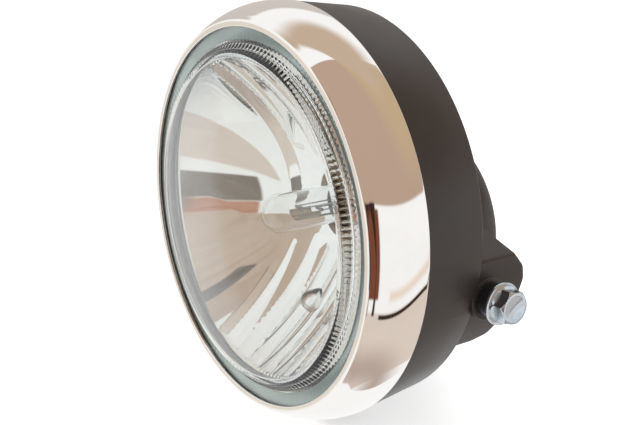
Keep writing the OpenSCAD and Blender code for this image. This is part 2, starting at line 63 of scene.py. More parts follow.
def buildPiece(name, grids, replaced=(), sharp=35, mergeAt=1e-6):
    # grids: (points as rows x cols x 3 in lamp millimetres, closeRows, closeCols)
    allPoints, allQuads, start = [], [], 0
    for points, closeRows, closeCols in grids:
        rows, cols = points.shape[:2]
        allPoints.append(points.reshape(-1, 3))
        allQuads.append(gridQuads(rows, cols, closeRows, closeCols) + start)
        start += rows * cols
    points, quads = inRow(np.concatenate(allPoints)), np.concatenate(allQuads)
    mesh = bpy.data.meshes.new(name)
    mesh.vertices.add(len(points))
    mesh.vertices.foreach_set("co", points.astype(np.float32).ravel())
    mesh.loops.add(quads.size)
    mesh.loops.foreach_set("vertex_index", quads.astype(np.int32).ravel())
    mesh.polygons.add(len(quads))
    mesh.polygons.foreach_set("loop_start", np.arange(0, quads.size, 4, dtype=np.int32))
    mesh.update(calc_edges=True)
    return finishPiece(name, mesh, replaced, sharp, mergeAt)


def finishPiece(name, mesh, replaced, sharp, mergeAt):
    work = bmesh.new()
    work.from_mesh(mesh)
    bmesh.ops.remove_doubles(work, verts=work.verts, dist=mergeAt)
    bmesh.ops.dissolve_degenerate(work, edges=work.edges, dist=mergeAt * 0.1)
    bmesh.ops.recalc_face_normals(work, faces=work.faces)
    work.to_mesh(mesh)
    work.free()
    mesh.shade_smooth()
    mesh.set_sharp_from_angle(angle=math.radians(sharp))
    piece = bpy.data.objects.new(name, mesh)
    bpy.context.scene.collection.objects.link(piece)
    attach(piece, "root")
    if replaced:
        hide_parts(*replaced)
    return piece


def lathe(profile, steps):
    # the profile's (r, y) points carried round the lamp axis: point = (r sin a, y, r cos a)
    profile = np.asarray(profile, float)
    angle = np.linspace(0, 2 * np.pi, steps, endpoint=False)
    r, y = profile[:, :1], profile[:, 1:2]
    return np.stack(np.broadcast_arrays(r * np.sin(angle), y, r * np.cos(angle)), axis=2)


def rounded(corners, steps=5):
    # closed outline of (r, y, radius) corners, each replaced by an arc that touches both sides
    out = []
    flat = np.array([c[:2] for c in corners], float)
    for k, (r, y, radius) in enumerate(corners):
        here, before, after = flat[k], flat[k - 1], flat[(k + 1) % len(flat)]
        u, v = before - here, after - here
        lu, lv = np.linalg.norm(u), np.linalg.norm(v)
        u, v = u / lu, v / lv
        half = 0.5 * math.acos(float(np.clip(u @ v, -1, 1)))
        if radius <= 0 or half > 1.55:
            out.append(here)
            continue
        reach = min(radius / math.tan(half), 0.48 * lu, 0.48 * lv)
        radius = reach * math.tan(half)
        middle = here + (u + v) / np.linalg.norm(u + v) * radius / math.sin(half)
        a, b = here + u * reach - middle, here + v * reach - middle
        t = np.linspace(0, 1, steps + 1)
        omega = math.acos(float(np.clip(a @ b / (radius * radius), -1, 1)))
        arc = (np.sin((1 - t) * omega)[:, None] * a + np.sin(t * omega)[:, None] * b) / math.sin(omega)
        out.extend(middle + arc)
    return np.array(out)


def tube(path, radius, sides, lean=(1.0, 0.0, 0.0)):
    # a circle carried along the path, square to it, with its first spoke leaning towards lean
    path = np.asarray(path, float)
    along = np.gradient(path, axis=0)
    along /= np.linalg.norm(along, axis=1)[:, None]
    first = np.array(lean) - (along @ np.array(lean))[:, None] * along
    first /= np.linalg.norm(first, axis=1)[:, None]
    second = np.cross(along, first)
    turn = np.linspace(0, 2 * np.pi, sides, endpoint=False)
    spread = np.ones(len(path)) * radius
    spread[[0, -1]] = 0.0       # closed ends
    ring = np.cos(turn)[None, :, None] * first[:, None, :] + np.sin(turn)[None, :, None] * second[:, None, :]
    return path[:, None, :] + spread[:, None, None] * ring


def withEnds(path):
    # each end point doubled, so that the closed end of a tube is a flat cap
    return np.concatenate([path[:1], path[:1] + 1e-3 * (path[1] - path[0]), path[1:-1],
                           path[-1:] + 1e-3 * (path[-2] - path[-1]), path[-1:]])


# camera

view = {"azimuth": 54.1614, "elevation": 15.4664, "place": (0.35703, -0.27975, 0.14220), "lens": 56.25}

azimuth, elevation = math.radians(view["azimuth"]), math.radians(view["elevation"])
backwards = Vector((math.sin(azimuth) * math.cos(elevation),
                    -math.cos(azimuth) * math.cos(elevation), math.sin(elevation)))
camera = bpy.data.objects.new("camera", bpy.data.cameras.new("camera"))
camera.data.lens = view["lens"]
camera.data.sensor_width = 36.0
camera.data.clip_start = 0.01
camera.location = Vector(view["place"])
camera.rotation_euler = (-backwards).to_track_quat("-Z", "Y").to_euler()
bpy.context.scene.collection.objects.link(camera)
bpy.context.scene.camera = camera
print("camera placed")


# shader node groups

def newGroup(name, inputs, outputs):
    group = bpy.data.node_groups.new(name, "ShaderNodeTree")
    for socketName, kind, value in inputs:
        socket = group.interface.new_socket(socketName, in_out="INPUT", socket_type=kind)
        socket.default_value = value
    for socketName, kind in outputs:
        group.interface.new_socket(socketName, in_out="OUTPUT", socket_type=kind)
    return group, group.nodes.new("NodeGroupInput"), group.nodes.new("NodeGroupOutput")


def addNode(tree, kind, settings=None, **inputs):
    node = tree.nodes.new(kind)
    for key, value in (settings or {}).items():
        setattr(node, key, value)
    for key, value in inputs.items():
        byNumber = key[0] == "i" and key[1:].isdigit()      # i0, i1 ... are sockets by their number
        socket = node.inputs[int(key[1:]) if byNumber else key.replace("_", " ")]
        if isinstance(value, bpy.types.NodeSocket):
            tree.links.new(value, socket)
        else:
            socket.default_value = value
    return node


def mathNode(tree, operation, a, b=0.0, clamp=False):
    settings = {"operation": operation, "use_clamp": clamp}
    return addNode(tree, "ShaderNodeMath", settings, i0=a, i1=b).outputs[0]


def rampNode(tree, value, low, high):
    # 0 below low, 1 above high, smooth between
    return addNode(tree, "ShaderNodeMapRange", {"interpolation_type": "SMOOTHSTEP"},
                   Value=value, i1=low, i2=high).outputs[0]


def mixColour(tree, share, a, b):
    node = addNode(tree, "ShaderNodeMix", {"data_type": "RGBA"}, i0=share)
    for index, value in ((6, a), (7, b)):
        if isinstance(value, bpy.types.NodeSocket):
            tree.links.new(value, node.inputs[index])
        else:
            node.inputs[index].default_value = (*value[:3], 1.0)
    return node.outputs[2]


# moulded grain: fine pebbled noise for bump, with a broad slow change of colour
grain, gIn, gOut = newGroup("mouldedGrain", [
    ("Grain Scale", "NodeSocketFloat", 2200.0), ("Cloud Scale", "NodeSocketFloat", 30.0),
    ("Dark", "NodeSocketColor", (0, 0, 0, 1)), ("Light", "NodeSocketColor", (1, 1, 1, 1)),
    ("Smooth", "NodeSocketFloat", 0.35), ("Rough", "NodeSocketFloat", 0.5)],
    [("Color", "NodeSocketColor"), ("Roughness", "NodeSocketFloat"), ("Height", "NodeSocketFloat")])
place = addNode(grain, "ShaderNodeTexCoord").outputs["Object"]
pebble = addNode(grain, "ShaderNodeTexNoise", Vector=place, Scale=gIn.outputs["Grain Scale"], Detail=2.0)
cloud = addNode(grain, "ShaderNodeTexNoise", Vector=place, Scale=gIn.outputs["Cloud Scale"], Detail=5.0)
cloudShare = rampNode(grain, cloud.outputs[0], 0.35, 0.7)
grain.links.new(mixColour(grain, cloudShare, gIn.outputs["Dark"], gIn.outputs["Light"]), gOut.inputs["Color"])
span = mathNode(grain, "SUBTRACT", gIn.outputs["Rough"], gIn.outputs["Smooth"])
spread = mathNode(grain, "MULTIPLY", span, cloudShare)
grain.links.new(mathNode(grain, "ADD", gIn.outputs["Smooth"], spread), gOut.inputs["Roughness"])
grain.links.new(pebble.outputs[0], gOut.inputs["Height"])

# fine marks: long hair scratches and faint smears on polished metal or glass
marks, mIn, mOut = newGroup("fineMarks", [
    ("Smear Scale", "NodeSocketFloat", 18.0), ("Hair Scale", "NodeSocketFloat", 160.0),
    ("Clean", "NodeSocketFloat", 0.03), ("Smeared", "NodeSocketFloat", 0.09),
    ("Bright", "NodeSocketColor", (1, 1, 1, 1)), ("Dull", "NodeSocketColor", (0.8, 0.8, 0.8, 1))],
    [("Color", "NodeSocketColor"), ("Roughness", "NodeSocketFloat"), ("Height", "NodeSocketFloat")])
place = addNode(marks, "ShaderNodeTexCoord").outputs["Object"]
smear = addNode(marks, "ShaderNodeTexNoise", Vector=place, Scale=mIn.outputs["Smear Scale"], Detail=6.0,
                Roughness=0.6)
stretch = addNode(marks, "ShaderNodeMapping", Vector=place, Scale=(1.0, 1.0, 9.0), Rotation=(0.5, 0.7, 0.3))
hair = addNode(marks, "ShaderNodeTexNoise", Vector=stretch.outputs[0], Scale=mIn.outputs["Hair Scale"],
               Detail=3.0)
smearShare = rampNode(marks, smear.outputs[0], 0.45, 0.75)
span = mathNode(marks, "SUBTRACT", mIn.outputs["Smeared"], mIn.outputs["Clean"])
spread = mathNode(marks, "MULTIPLY", span, smearShare)
marks.links.new(mathNode(marks, "ADD", mIn.outputs["Clean"], spread), mOut.inputs["Roughness"])
smeared = mixColour(marks, smearShare, mIn.outputs["Bright"], mIn.outputs["Dull"])
marks.links.new(smeared, mOut.inputs["Color"])
marks.links.new(hair.outputs[0], mOut.inputs["Height"])


def finish(name, group, values, bump=0.0, bumpDistance=0.0001, **plain):
    material = bpy.data.materials.new(name)
    material.use_nodes = True
    tree = material.node_tree
    shader = tree.nodes["Principled BSDF"]
    for key, value in plain.items():
        shader.inputs[key.replace("_", " ")].default_value = value
    source = tree.nodes.new("ShaderNodeGroup")
    source.node_tree = group
    for key, value in values.items():
        source.inputs[key].default_value = (*value, 1.0) if isinstance(value, tuple) else value
    tree.links.new(source.outputs["Color"], shader.inputs["Base Color"])
    tree.links.new(source.outputs["Roughness"], shader.inputs["Roughness"])
    if bump:
        relief = addNode(tree, "ShaderNodeBump", Strength=bump, Distance=bumpDistance,
                         Height=source.outputs["Height"])
        tree.links.new(relief.outputs[0], shader.inputs["Normal"])
    return material


shellPlastic = finish("shellPlastic", grain, {
    "Dark": (0.019, 0.014, 0.013), "Light": (0.029, 0.022, 0.020), "Smooth": 0.36, "Rough": 0.46},
    bump=0.25, bumpDistance=0.00008)
ringChrome = finish("ringChrome", marks, {
    "Bright": (0.93, 0.91, 0.89), "Dull": (0.87, 0.85, 0.83), "Clean": 0.025, "Smeared": 0.06}, Metallic=1.0)
mirrorCoat = finish("mirrorCoat", marks, {
    "Bright": (0.90, 0.88, 0.86), "Dull": (0.84, 0.82, 0.80), "Clean": 0.03, "Smeared": 0.08}, Metallic=1.0)
lensGlass = finish("lensGlass", marks, {
    "Bright": (0.97, 0.995, 0.99), "Dull": (0.95, 0.985, 0.98), "Clean": 0.0, "Smeared": 0.012},
    Transmission_Weight=1.0, IOR=1.5)
bulbGlass = finish("bulbGlass", marks, {
    "Bright": (0.98, 0.99, 0.99), "Dull": (0.94, 0.96, 0.96), "Clean": 0.0, "Smeared": 0.02},
    Transmission_Weight=1.0, IOR=1.47)
zincPlate = finish("zincPlate", marks, {
    "Bright": (0.60, 0.68, 0.76), "Dull": (0.46, 0.52, 0.58), "Clean": 0.16, "Smeared": 0.34,
    "Smear Scale": 140.0}, bump=0.1, bumpDistance=0.00005, Metallic=1.0)
platedSteel = finish("platedSteel", marks, {
    "Bright": (0.62, 0.62, 0.62), "Dull": (0.46, 0.46, 0.45), "Clean": 0.25, "Smeared": 0.42,
    "Smear Scale": 90.0}, bump=0.15, bumpDistance=0.00005, Metallic=1.0)
darkSteel = finish("darkSteel", marks, {
    "Bright": (0.20, 0.21, 0.24), "Dull": (0.10, 0.10, 0.12), "Clean": 0.25, "Smeared": 0.4,
    "Smear Scale": 120.0}, bump=0.15, bumpDistance=0.00005, Metallic=1.0)
springSteel = finish("springSteel", marks, {
    "Bright": (0.56, 0.56, 0.57), "Dull": (0.40, 0.40, 0.41), "Clean": 0.22, "Smeared": 0.36,
    "Smear Scale": 110.0}, bump=0.12, bumpDistance=0.00004, Metallic=1.0)
bulbMetal = finish("bulbMetal", marks, {
    "Bright": (0.36, 0.28, 0.20), "Dull": (0.22, 0.16, 0.11), "Clean": 0.18, "Smeared": 0.3,
    "Smear Scale": 150.0}, bump=0.1, bumpDistance=0.00004, Metallic=1.0)
tungsten = finish("tungsten", marks, {
    "Bright": (0.42, 0.42, 0.44), "Dull": (0.28, 0.28, 0.30), "Clean": 0.3, "Smeared": 0.45,
    "Smear Scale": 400.0}, Metallic=1.0)
tinnedBrass = finish("tinnedBrass", marks, {
    "Bright": (0.72, 0.66, 0.50), "Dull": (0.55, 0.47, 0.32), "Clean": 0.24, "Smeared": 0.4,
    "Smear Scale": 120.0}, bump=0.1, bumpDistance=0.00004, Metallic=1.0)
softRubber = finish("softRubber", grain, {
    "Dark": (0.020, 0.020, 0.020), "Light": (0.034, 0.033, 0.032), "Smooth": 0.6, "Rough": 0.78,
    "Grain Scale": 1500.0}, bump=0.4, bumpDistance=0.0001)
sealBead = finish("sealBead", marks, {
    "Bright": (0.58, 0.70, 0.69), "Dull": (0.50, 0.62, 0.61), "Clean": 0.5, "Smeared": 0.62}, Metallic=1.0)
ceramicBase = finish("ceramicBase", grain, {
    "Dark": (0.12, 0.09, 0.07), "Light": (0.18, 0.14, 0.11), "Smooth": 0.5, "Rough": 0.65,
    "Grain Scale": 2600.0}, bump=0.3, bumpDistance=0.0001)
holderPlastic = finish("holderPlastic", grain, {
    "Dark": (0.035, 0.035, 0.036), "Light": (0.055, 0.055, 0.057), "Smooth": 0.42, "Rough": 0.55},
    bump=0.2, bumpDistance=0.00008)
print("materials made")

nodeFinishes = {
    "housing": shellPlastic, "trim_ring": ringChrome, "ring_hook": platedSteel, "screw_tabs": platedSteel,
    "ring_screws": zincPlate, "ring_nuts": platedSteel, "unit_clips": springSteel, "lens": lensGlass,
    "lens_seal": sealBead, "reflector": mirrorCoat, "bulb_base": bulbMetal, "bulb_glass": bulbGlass,
    "beam_shield": bulbMetal, "filaments": tungsten, "bulb_insulator": ceramicBase,
    "bulb_terminals": tinnedBrass, "bulb_spring": springSteel, "spring_screws": zincPlate,
    "dust_boot": softRubber, "pilot_bulb": bulbGlass, "pilot_holder": holderPlastic,
    "threaded_inserts": platedSteel, "mount_spacers": darkSteel, "mounting_bolts": zincPlate,
    "wire_grommet": softRubber}
for nodeName, material in nodeFinishes.items():
    node = cadNodes[nodeName]
    node.data.materials.clear()
    node.data.materials.append(material)
print("nodes finished:", len(nodeFinishes))


def dress(piece, material):
    piece.data.materials.clear()
    piece.data.materials.append(material)


# trim ring: a drawn skirt, a rolled crease and a flat lip

ring = {"r": 93.0, "length": 23.3, "draw": 7.9, "power": 2.4, "wall": 1.0, "lipR": 82.5, "bulge": 0.15,
        "creaseRound": 1.3, "lipRound": 0.6, "insideRound": 0.4, "lipBackRound": 0.3, "hemRound": 0.45,
        "hemDepth": 3.0, "skirtEnd": 0.93, "skirtRows": 40, "columns": 360}


def skirtR(y):
    # r = ring r - draw (-y / length) ^ power
    return ring["r"] - ring["draw"] * (-y / ring["length"]) ** ring["power"]


outerY = -ring["length"] * np.linspace(0, ring["skirtEnd"], ring["skirtRows"])
outerR = skirtR(outerY)
innerY = outerY[::-1] * ring["skirtEnd"]
steepness = ring["draw"] * ring["power"] / ring["length"] * (-innerY / ring["length"]) ** (ring["power"] - 1)
innerR = skirtR(innerY) - ring["wall"] * np.sqrt(1 + steepness ** 2)
creaseR = ring["r"] - ring["draw"]
lipFront, lipBack = -ring["length"] - ring["bulge"], ring["wall"] - ring["length"]
crown = rounded([(outerR[-1], outerY[-1], 0), (creaseR + ring["bulge"], lipFront, ring["creaseRound"]),
                 (ring["lipR"], lipFront, ring["lipRound"]), (ring["lipR"], lipBack, ring["lipBackRound"]),
                 (creaseR - ring["wall"], lipBack, ring["insideRound"])], 7)
hem = rounded([(innerR[-1], 0.0, ring["hemRound"]), (ring["r"], 0.0, ring["hemRound"]),
               (ring["r"], -ring["hemDepth"], 0)], 4)[:-1]
ringProfile = np.concatenate([np.stack([outerR, outerY], 1)[2:], crown[1:],
                              np.stack([innerR, innerY], 1)[:-2], hem])
dress(buildPiece("trimRing", [(lathe(ringProfile, ring["columns"]), True, True)],
                 ["trim_ring"], sharp=50), ringChrome)
print("ring turned")


# glass: a clear dome, a bevel with radial flutes and a smooth flange

glass = {"flutes": 180, "stepsPerFlute": 8, "depth": 0.32, "bevelIn": 72.33, "bevelOut": 76.23,
         "bevelFront": -25.8, "bevelRows": 7, "lipBack": -22.3, "edgeR": 84.13, "back": -19.1,
         "innerR": 70.73, "innerLean": 1.5, "innerBack": -23.9, "rise": 7.2, "domeRows": 14,
         "outwards": (0.67, -0.74)}


def domeRow(rim, rimY, rise, n):
    # r = rim (1 - t^1.3) from the rim to the axis, and y = rimY - rise (1 - (r / rim)^2)
    r = rim * (1 - np.linspace(0, 1, n) ** 1.3)
    return np.stack([r, rimY - rise * (1 - (r / rim) ** 2)], 1)


outerDome = domeRow(glass["bevelIn"], glass["bevelFront"], glass["rise"], glass["domeRows"])[::-1]
across = np.linspace(0, 1, glass["bevelRows"] + 2)[1:-1]
bevel = np.array([[glass["bevelIn"], glass["bevelFront"]]]) * (1 - across[:, None]) \
    + np.array([[glass["bevelOut"], glass["lipBack"]]]) * across[:, None]
innerRim = glass["innerR"] - glass["innerLean"]
flange = rounded([(glass["bevelOut"], glass["lipBack"], 0), (glass["edgeR"], glass["lipBack"], 0.8),
                  (glass["edgeR"], glass["back"], 0.5), (glass["innerR"], glass["back"], 0.9),
                  (innerRim, glass["innerBack"], 0.6)], 4)
innerDome = domeRow(innerRim, glass["innerBack"], glass["rise"], glass["domeRows"])[1:]
lensProfile = np.concatenate([outerDome, bevel, flange, innerDome])
onBevel = np.zeros(len(lensProfile))
onBevel[len(outerDome):len(outerDome) + len(bevel)] = np.sin(np.pi * across) ** 0.6
columns = glass["flutes"] * glass["stepsPerFlute"]
# each flute is a half round valley below the ribs: depth x |sin(flutes x angle / 2)| ^ 0.8, times
# sin(pi x share across the bevel) ^ 0.6
turn = np.linspace(0, 2 * np.pi, columns, endpoint=False)
valley = glass["depth"] * np.abs(np.sin(glass["flutes"] * turn / 2)) ** 0.8
outwards = np.stack([np.sin(turn) * glass["outwards"][0], np.full(columns, glass["outwards"][1]),
                     np.cos(turn) * glass["outwards"][0]], 1)
lensGrid = lathe(lensProfile, columns)
lensGrid = lensGrid - (onBevel[:, None] * valley[None, :])[:, :, None] * outwards[None, :, :]
dress(buildPiece("lensGlass", [(lensGrid, False, True)], ["lens"], sharp=60), lensGlass)
print("glass moulded")


# reflector: a paraboloid with an upright fluted zone and three facets on each side

bowl = {"vertex": 36.05, "focal": 23.2, "rimR": 70.23, "holeR": 20.2, "rimY": -17.1, "edgeR": 84.13,
        "flange": 2.5, "wall": 2.2, "rows": 96, "backRows": 24, "columns": 504, "zone": 28.0, "flutes": 6,
        "crown": 0.8, "zoneFrom": 19.0, "zoneTo": 25.0, "upperSeam": (56.0, -9.0, -41.0),
        "lowerSeam": (52.0, -26.0, -23.0), "slope": 0.06, "facetFade": 4.0, "seatY": 41.75, "seatR": 27.5,
        "seatThick": 4.0, "neckR": 22.5, "neckLen": 9.5, "sleeve": 1.2, "rimOver": 1.5, "rimLip": 0.4}


def polar(r, y, turn):
    # point = (r sin turn, y, r cos turn)
    return np.stack(np.broadcast_arrays(r * np.sin(turn), y, r * np.cos(turn)), axis=2)


def between(value, low, high):
    return np.clip((value - low) / (high - low), 0, 1)


def beyondSeam(x, z, seam):
    # distance past the line through (seam x, seam z), square to it
    lean = math.radians(seam[2])
    return np.maximum(0, (z - seam[1]) * math.cos(lean) + (np.abs(x) - seam[0]) * math.sin(lean))


def mirrorDepth(x, z):
    # y = vertex - r^2 / (4 focal), less crown (1 - (2u - 1)^2) across each flute of the zone, less
    # slope x distance past a seam outside the zone
    u = (x + bowl["zone"]) * bowl["flutes"] / (2 * bowl["zone"])
    flute = 1 - (2 * (u - np.floor(u)) - 1) ** 2
    inZone = (np.abs(x) < bowl["zone"]) * between(np.abs(z), bowl["zoneFrom"], bowl["zoneTo"])
    upper, lower = bowl["upperSeam"], bowl["lowerSeam"]
    facets = between(np.abs(x), bowl["zone"], bowl["zone"] + bowl["facetFade"]) * (
        beyondSeam(x, z, upper) + beyondSeam(x, -z, (lower[0], -lower[1], lower[2])))
    return bowl["vertex"] - (x * x + z * z) / (4 * bowl["focal"]) - bowl["crown"] * flute * inZone \
        - bowl["slope"] * facets


mirrorR = np.linspace(bowl["rimR"], bowl["holeR"], bowl["rows"])[:, None]
mirrorTurn = np.linspace(0, 2 * np.pi, bowl["columns"], endpoint=False)[None, :]
mirrorY = mirrorDepth(mirrorR * np.sin(mirrorTurn), mirrorR * np.cos(mirrorTurn))
backR = np.linspace(bowl["neckR"], bowl["rimR"] + bowl["rimOver"], bowl["backRows"])[:, None]
backY = bowl["vertex"] - (backR - bowl["sleeve"]) ** 2 / (4 * bowl["focal"]) + bowl["wall"]
boreR, neckY = bowl["holeR"] - bowl["sleeve"], bowl["seatY"] - bowl["neckLen"]
shelfY, flangeY = bowl["seatY"] - bowl["seatThick"], bowl["rimY"] + bowl["flange"]
seatRows = rounded([(boreR, neckY, 0), (boreR, bowl["seatY"], 0.3), (bowl["seatR"], bowl["seatY"], 0.5),
                    (bowl["seatR"], shelfY, 0.5), (bowl["neckR"], shelfY, 0.4), (bowl["neckR"], neckY, 0)], 3)
flangeRows = rounded([(bowl["rimR"] + bowl["rimOver"], flangeY, 0.5), (bowl["edgeR"], flangeY, 0.5),
                      (bowl["edgeR"], bowl["rimY"], 0.5),
                      (bowl["rimR"] + bowl["rimLip"], bowl["rimY"], 0.3)], 3)
mirrorGrid = np.concatenate([
    polar(mirrorR, mirrorY, mirrorTurn),
    polar(seatRows[:, :1], seatRows[:, 1:2], mirrorTurn),
    polar(backR, backY, mirrorTurn),
    polar(flangeRows[:, :1], flangeRows[:, 1:2], mirrorTurn)])

# sealing bead between the glass and the mirror's flange, with a little air on both sides
bead = {"innerR": 76.6, "outerR": 83.1, "air": 0.08, "columns": 360}
beadFront, beadBack = glass["back"] + bead["air"], bowl["rimY"] - bead["air"]
beadRows = rounded([(bead["innerR"], beadFront, 0.2), (bead["outerR"], beadFront, 0.5),
                    (bead["outerR"], beadBack, 0.5), (bead["innerR"], beadBack, 0.2)], 4)
dress(buildPiece("glassBead", [(lathe(beadRows, bead["columns"]), True, True)], ["lens_seal"],
                 sharp=60), sealBead)
dress(buildPiece("reflectorBowl", [(mirrorGrid, True, True)], ["reflector"], sharp=12), mirrorCoat)
print("reflector pressed")


# bulb: a glass envelope with a round tip, and coiled filaments on their leads

bulb = {"r": 8.9, "wall": 0.9, "tip": -13.25, "rear": 47.0, "focusY": 12.85, "coilR": 0.62, "wireR": 0.13,
        "turns": 11, "stepsPerTurn": 16, "coilLen": 5.2, "leadR": 0.3, "leadEnd": 43.0,
        "coils": ((-7.0, 1.2), (4.0, -1.2))}
tipTurn = np.radians(np.linspace(0, 90, 13))
innerR = bulb["r"] - bulb["wall"]
outerTip = np.stack([bulb["r"] * np.cos(tipTurn), bulb["tip"] + bulb["r"] * (1 - np.sin(tipTurn))], 1)[::-1]
innerTip = np.stack([innerR * np.cos(tipTurn), bulb["tip"] + bulb["r"] - innerR * np.sin(tipTurn)], 1)
tubeRows = rounded([(bulb["r"], 0, 0), (bulb["r"], bulb["rear"], 0.4),
                    (innerR, bulb["rear"], 0.4), (innerR, 0, 0)], 3)
dress(buildPiece("bulbEnvelope", [(lathe(np.concatenate([outerTip, tubeRows, innerTip]), 96), False, True)],
                 ["bulb_glass"], sharp=50), bulbGlass)

coilGrids = []
for offset, coilZ in bulb["coils"]:
    # helix about x: x runs along the coil while y and z go round it
    coilY = bulb["focusY"] + offset
    t = np.linspace(0, 1, bulb["turns"] * bulb["stepsPerTurn"] + 1)
    wind = 2 * np.pi * bulb["turns"] * t
    helix = np.stack([bulb["coilLen"] * (t - 0.5), coilY + bulb["coilR"] * np.cos(wind),
                      coilZ + bulb["coilR"] * np.sin(wind)], 1)
    coilGrids.append((tube(withEnds(helix), bulb["wireR"], 6), False, True))
    for side in (-1, 1):
        s = np.linspace(0, 1, 12)
        lead = np.stack([np.full(12, side * bulb["coilLen"] / 2), coilY + (bulb["leadEnd"] - coilY) * s,
                         np.full(12, coilZ)], 1)
        coilGrids.append((tube(withEnds(lead), bulb["leadR"], 10), False, True))
dress(buildPiece("bulbCoils", coilGrids, ["filaments"], sharp=50, mergeAt=2e-8), tungsten)
print("bulb made")


# mounting bolts: a plain shank, a flange and a six-sided head with a turned chamfer

bolt = {"headX": 93.75, "flats": 13.0, "headH": 8.0, "chamfer": 0.95, "topIn": 0.15, "lean": 0.2,
        "steps": 144,
        "shankAndFlange": ((0.0, -25.0), (3.2, -25.0), (4.0, -24.2), (4.0, 0.0), (8.7, 0.0), (9.0, 0.3),
                           (9.0, 1.0), (8.85, 1.35), (8.5, 1.5), (7.9, 2.3)),
        "headHeights": (2.7, 3.2, 6.2, 6.5, 6.8, 7.1, 7.4, 7.7, 7.9),
        "dish": ((5.8, 8.0), (4.9, 7.95), (3.6, 7.55), (0.0, 7.45))}


def boltGrid(side):
    # (r, height) rows round the bolt axis; on the head r = half the flats / cos(angle to the nearest
    # flat), cut by the cone r = half the flats - topIn + chamfer x distance below the top
    turn = np.linspace(0, 2 * np.pi, bolt["steps"], endpoint=False)
    nearFlat = (turn + np.pi / 6) % (np.pi / 3) - np.pi / 6
    hexR = bolt["flats"] / 2 / np.cos(nearFlat)
    rows = [(np.full(bolt["steps"], r), h) for r, h in bolt["shankAndFlange"]]
    for h in bolt["headHeights"]:
        cone = bolt["flats"] / 2 - bolt["topIn"] + (bolt["headH"] - h) * bolt["chamfer"]
        rows.append((np.minimum(hexR, cone), h))
    rows += [(np.full(bolt["steps"], r), h) for r, h in bolt["dish"]]
    r = np.stack([row[0] for row in rows])
    h = np.array([row[1] for row in rows])[:, None]
    x = side * (bolt["headX"] + h) * np.ones_like(r)
    return np.stack([x, boltAxis["y"] + r * np.sin(turn + bolt["lean"]),
                     boltAxis["z"] + r * np.cos(turn + bolt["lean"])], axis=2)


dress(buildPiece("flangedBolts", [(boltGrid(1), False, True), (boltGrid(-1), False, True)],
                 ["mounting_bolts"], sharp=28, mergeAt=2e-6), zincPlate)
print("bolts turned")


# shell: drum and rear bowl as one grid, with a lug and its round pad on each side

shell = {"seamR": 92.6, "backR": 89.4, "drumLen": 31.3, "rimRound": 1.3, "spigotR": 91.7, "spigotLen": 5.0,
         "wall": 2.6, "rearDrop": 18.0, "rootR": 57.4, "rearR": 50.4, "rearStart": 70.5, "rearEnd": 84.0,
         "flatR": 44.0, "holeR": 10.5, "columns": 288}

# the corners of a lug's side view: (behind its back edge, above its top or bottom edge, rounding)
lug = {"r": 88.4, "top": -6.8, "bottom": -47.8, "back": 59.5, "inX": 41.0, "slope": 20.0, "slopeOver": 3.0,
       "edge": 1.6, "front": -3.0, "points": 160, "rows": 14,
       "upper": ((-8.0, 0.0, 1.5), (-5.5, -2.3, 2.0), (-2.0, -6.0, 4.0), (0.0, -12.5, 6.0),
                 (-0.8, -20.0, 8.0)),
       "lower": ((-5.0, 10.0, 8.0), (-10.0, 2.0, 5.0), (-18.0, 0.0, 4.0))}

# round pads, the bores for their inserts, and the sunk seats of the two ring screws
pad = {"r": 9.3, "x": 87.25, "rootX": 60.0, "round": 0.6, "steps": 96}
bore = {"r": 7.2, "from": 66.0, "to": 96.0, "steps": 72}
screwSeat = {"angle": 152.0, "y": 7.0, "holeR": 2.8, "sinkR": 5.1, "from": 80.0, "seat": 90.3, "to": 96.0,
             "steps": 48}


def shellRows(inset, hole):
    # (r, y, drop) rows from the front edge of the drum to the hole in the back
    s = shell
    drumEnd = s["drumLen"] - inset
    drum = rounded([(s["spigotR"] - inset, -s["spigotLen"], 0.0 if inset else 0.5),
                    (s["spigotR"] - inset, 0, 0.2), (s["seamR"] - inset, 0, 0.3),
                    (s["backR"] - inset, drumEnd, s["rimRound"]), (s["rootR"] + 3, drumEnd, 0)], 4)
    drum = drum[:-1] if inset else drum[1:-1]
    rootR = s["rootR"] - inset
    rear = [(rootR + 2.5, drumEnd), (rootR + 0.7, drumEnd + 0.7), (rootR, drumEnd + 2.5)]    # root fillet
    side = [(rootR + (s["rearR"] - s["rootR"]) * t, s["drumLen"] + (s["rearStart"] - s["drumLen"]) * t)
            for t in np.linspace(0.1, 1, 12)]
    end = [(s["flatR"] - inset + (s["rearR"] - s["flatR"]) * math.cos(b),
            s["rearStart"] + (s["rearEnd"] - s["rearStart"] - inset) * math.sin(b))
           for b in np.radians(np.linspace(0, 90, 16)[1:])]
    rearRows = np.array(rear + side + end + [(hole, s["rearEnd"] - inset)])
    return np.concatenate([np.column_stack([drum, np.zeros(len(drum))]),
                           np.column_stack([rearRows, np.full(len(rearRows), s["rearDrop"])])])


def carried(rows, columns):
    # each row is a circle round the line z = -drop: point = (r sin turn, y, r cos turn - drop)
    turn = np.linspace(0, 2 * np.pi, columns, endpoint=False)[None, :]
    r, y, drop = rows[:, :1], rows[:, 1:2], rows[:, 2:3]
    return np.stack(np.broadcast_arrays(r * np.sin(turn), y, r * np.cos(turn) - drop), axis=2)


def evenly(outline, count):
    # that many points at even distances along the closed outline
    closed = np.concatenate([outline, outline[:1]])
    length = np.concatenate([[0], np.cumsum(np.linalg.norm(np.diff(closed, axis=0), axis=1))])
    at = np.linspace(0, length[-1], count, endpoint=False)
    return np.column_stack([np.interp(at, length, closed[:, 0]), np.interp(at, length, closed[:, 1])])


